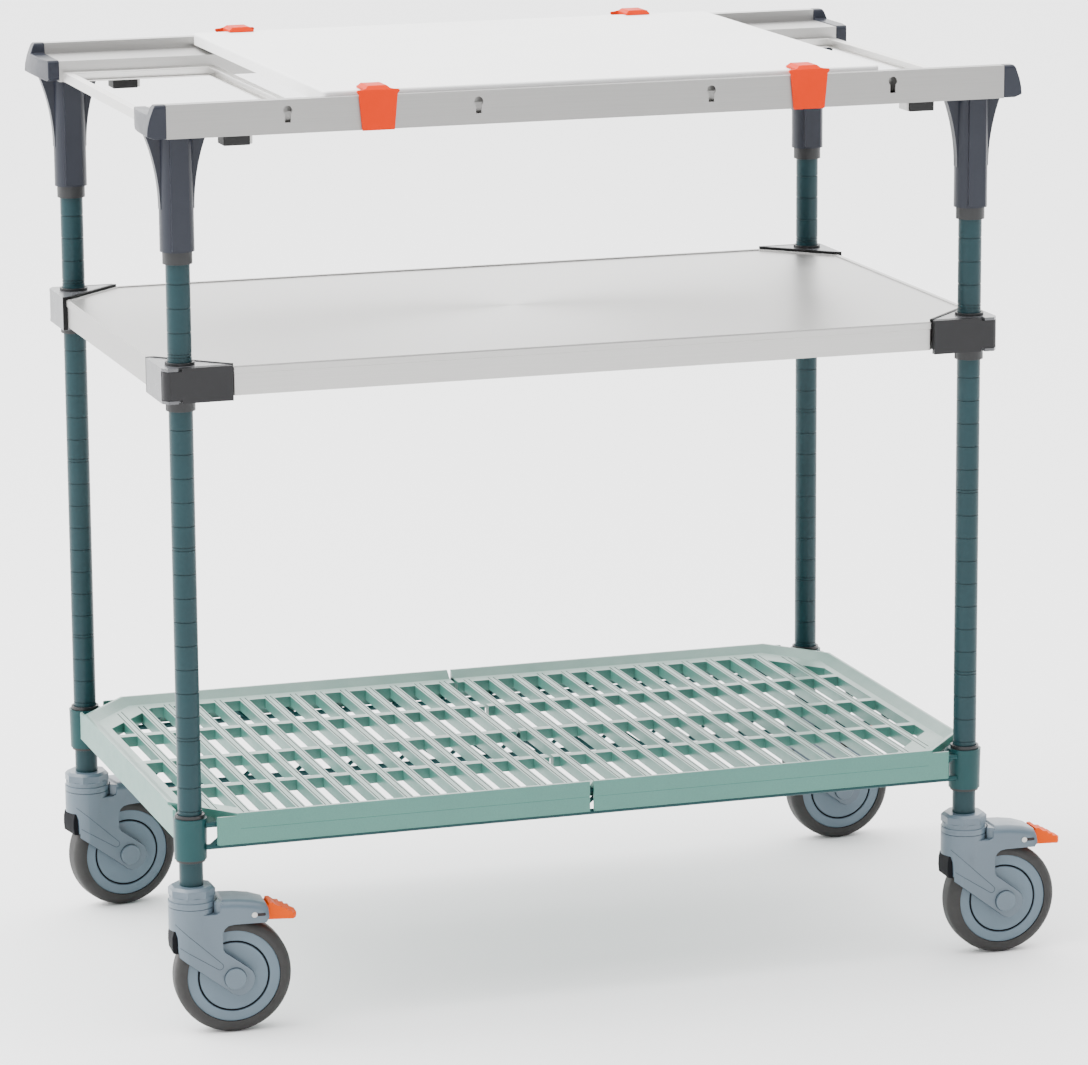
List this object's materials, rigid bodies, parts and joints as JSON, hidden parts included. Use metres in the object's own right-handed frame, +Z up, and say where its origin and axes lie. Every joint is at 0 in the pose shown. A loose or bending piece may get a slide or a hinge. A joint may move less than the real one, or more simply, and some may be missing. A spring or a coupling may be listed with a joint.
{
  "type": "rolling utility cart",
  "caption": "Wheeled cart on grooved tube posts: open top frame with a lift-off board, a solid shelf and a slotted lower shelf, on braked swivel casters.",
  "frame": {"origin": "on the floor, at the middle of the rectangle of the four posts' axes", "axes": "+X along the cart's length, +Y from the front to the rear, +Z up"},
  "size_m": [1.027, 0.5908, 1.002],
  "materials": {
    "post_epoxy": "satin dark teal-green epoxy, smooth with fine dust nibs",
    "frame_epoxy": "satin dark teal-green epoxy over wire",
    "sleeve_plastic": "matte charcoal plastic",
    "stainless": "brushed stainless sheet, fine lengthwise grain",
    "dark_plastic": "matte dark blue-grey moulded plastic",
    "black_rubber": "matte black",
    "board_white": "fine-textured white polyethylene",
    "orange_plastic": "satin orange moulded plastic",
    "corner_cast": "bead-blasted casting",
    "lever_plastic": "matte charcoal plastic",
    "mat_sage": "matte sage green polymer with a fine grain",
    "caster_slate": "matte slate blue-grey moulded polymer",
    "axle_cap": "matte slate blue-grey",
    "tyre": "dark grey polyurethane tread"
  },
  "bodies": {
    "frame": {"post_fl": "post_epoxy", "post_fr": "post_epoxy", "post_rl": "post_epoxy", "post_rr": "post_epoxy", "split_sleeves": "sleeve_plastic", "rail_front": "stainless", "rail_rear": "stainless", "end_cap_fl": "dark_plastic", "end_cap_fr": "dark_plastic", "end_cap_rl": "dark_plastic", "end_cap_rr": "dark_plastic", "bracket_fl": "dark_plastic", "bracket_fr": "dark_plastic", "bracket_rl": "dark_plastic", "bracket_rr": "dark_plastic", "pan_frame_left": "stainless", "pan_frame_right": "stainless", "keeper_blocks": "black_rubber", "keeper_plates": "stainless", "lower_frame_front": "frame_epoxy", "lower_frame_rear": "frame_epoxy", "lower_frame_left": "frame_epoxy", "lower_frame_right": "frame_epoxy", "lower_frame_middle": "frame_epoxy", "caster_stems": "caster_slate"},
    "board": {"cutting_board": "board_white", "board_clips": "orange_plastic"},
    "lower_mat_left": {"mat_left": "mat_sage"},
    "lower_mat_right": {"mat_right": "mat_sage"},
    "shelf": {"middle_shelf": "stainless", "shelf_stiffener": "stainless", "shelf_sleeves": "sleeve_plastic", "shelf_corner_fl": "corner_cast", "shelf_corner_fr": "corner_cast", "shelf_corner_rl": "corner_cast", "shelf_corner_rr": "corner_cast"},
    "lever_fl": {"shelf_lever_fl": "lever_plastic"},
    "lever_fr": {"shelf_lever_fr": "lever_plastic"},
    "lever_rl": {"shelf_lever_rl": "lever_plastic"},
    "lever_rr": {"shelf_lever_rr": "lever_plastic"},
    "caster_fl": {"caster_horn_fl": "caster_slate", "caster_axle_fl": "axle_cap"},
    "wheel_fl": {"caster_tyre_fl": "tyre", "caster_hub_fl": "caster_slate"},
    "pedal_fl": {"brake_pedal_fl": "orange_plastic"},
    "caster_fr": {"caster_horn_fr": "caster_slate", "caster_axle_fr": "axle_cap"},
    "wheel_fr": {"caster_tyre_fr": "tyre", "caster_hub_fr": "caster_slate"},
    "pedal_fr": {"brake_pedal_fr": "orange_plastic"},
    "caster_rl": {"caster_horn_rl": "caster_slate", "caster_axle_rl": "axle_cap"},
    "wheel_rl": {"caster_tyre_rl": "tyre", "caster_hub_rl": "caster_slate"},
    "pedal_rl": {"brake_pedal_rl": "orange_plastic"},
    "caster_rr": {"caster_horn_rr": "caster_slate", "caster_axle_rr": "axle_cap"},
    "wheel_rr": {"caster_tyre_rr": "tyre", "caster_hub_rr": "caster_slate"},
    "pedal_rr": {"brake_pedal_rr": "orange_plastic"}
  },
  "joints": [
    {"name": "board_lift", "type": "slide", "parent": "frame", "child": "board", "axis": [0, 0, 1], "range_m": [0, 0.15]},
    {"name": "mat_left_lift", "type": "slide", "parent": "frame", "child": "lower_mat_left", "axis": [0, 0, 1], "range_m": [0, 0.12]},
    {"name": "mat_right_lift", "type": "slide", "parent": "frame", "child": "lower_mat_right", "axis": [0, 0, 1], "range_m": [0, 0.12]},
    {"name": "shelf_height", "type": "slide", "parent": "frame", "child": "shelf", "axis": [0, 0, 1], "range_m": [-0.2032, 0.0762]},
    {"name": "lever_fl_release", "type": "hinge", "parent": "shelf", "child": "lever_fl", "pos_m": [-0.45405, -0.26555, 0.6995], "axis": [0, 0, -1], "range_deg": [0, 80]},
    {"name": "lever_fr_release", "type": "hinge", "parent": "shelf", "child": "lever_fr", "pos_m": [0.45405, -0.26555, 0.6995], "axis": [0, 0, 1], "range_deg": [0, 80]},
    {"name": "lever_rl_release", "type": "hinge", "parent": "shelf", "child": "lever_rl", "pos_m": [-0.45405, 0.26555, 0.6995], "axis": [0, 0, 1], "range_deg": [0, 80]},
    {"name": "lever_rr_release", "type": "hinge", "parent": "shelf", "child": "lever_rr", "pos_m": [0.45405, 0.26555, 0.6995], "axis": [0, 0, -1], "range_deg": [0, 80]},
    {"name": "caster_fl_swivel", "type": "hinge", "parent": "frame", "child": "caster_fl", "pos_m": [-0.43815, -0.24765, 0.138], "axis": [0, 0, 1], "continuous": true},
    {"name": "wheel_fl_roll", "type": "hinge", "parent": "caster_fl", "child": "wheel_fl", "pos_m": [-0.39728, -0.25087, 0.0625], "axis": [0.0785, 0.9969, 0], "continuous": true},
    {"name": "pedal_fl_press", "type": "hinge", "parent": "caster_fl", "child": "pedal_fl", "pos_m": [-0.36837, -0.25314, 0.13], "axis": [0.0785, 0.9969, 0], "range_deg": [0, 15]},
    {"name": "caster_fr_swivel", "type": "hinge", "parent": "frame", "child": "caster_fr", "pos_m": [0.43815, -0.24765, 0.138], "axis": [0, 0, 1], "continuous": true},
    {"name": "wheel_fr_roll", "type": "hinge", "parent": "caster_fr", "child": "wheel_fr", "pos_m": [0.47914, -0.24872, 0.0625], "axis": [0.0262, 0.9997, 0], "continuous": true},
    {"name": "pedal_fr_press", "type": "hinge", "parent": "caster_fr", "child": "pedal_fr", "pos_m": [0.50813, -0.24948, 0.13], "axis": [0.0262, 0.9997, 0], "range_deg": [0, 15]},
    {"name": "caster_rl_swivel", "type": "hinge", "parent": "frame", "child": "caster_rl", "pos_m": [-0.43815, 0.24765, 0.138], "axis": [0, 0, 1], "continuous": true},
    {"name": "wheel_rl_roll", "type": "hinge", "parent": "caster_rl", "child": "wheel_rl", "pos_m": [-0.39777, 0.25477, 0.0625], "axis": [-0.1736, 0.9848, 0], "continuous": true},
    {"name": "pedal_rl_press", "type": "hinge", "parent": "caster_rl", "child": "pedal_rl", "pos_m": [-0.36921, 0.25981, 0.13], "axis": [-0.1736, 0.9848, 0], "range_deg": [0, 15]},
    {"name": "caster_rr_swivel", "type": "hinge", "parent": "frame", "child": "caster_rr", "pos_m": [0.43815, 0.24765, 0.138], "axis": [0, 0, 1], "continuous": true},
    {"name": "wheel_rr_roll", "type": "hinge", "parent": "caster_rr", "child": "wheel_rr", "pos_m": [0.47913, 0.24908, 0.0625], "axis": [-0.0349, 0.9994, 0], "continuous": true},
    {"name": "pedal_rr_press", "type": "hinge", "parent": "caster_rr", "child": "pedal_rr", "pos_m": [0.50811, 0.25009, 0.13], "axis": [-0.0349, 0.9994, 0], "range_deg": [0, 15]}
  ]
}
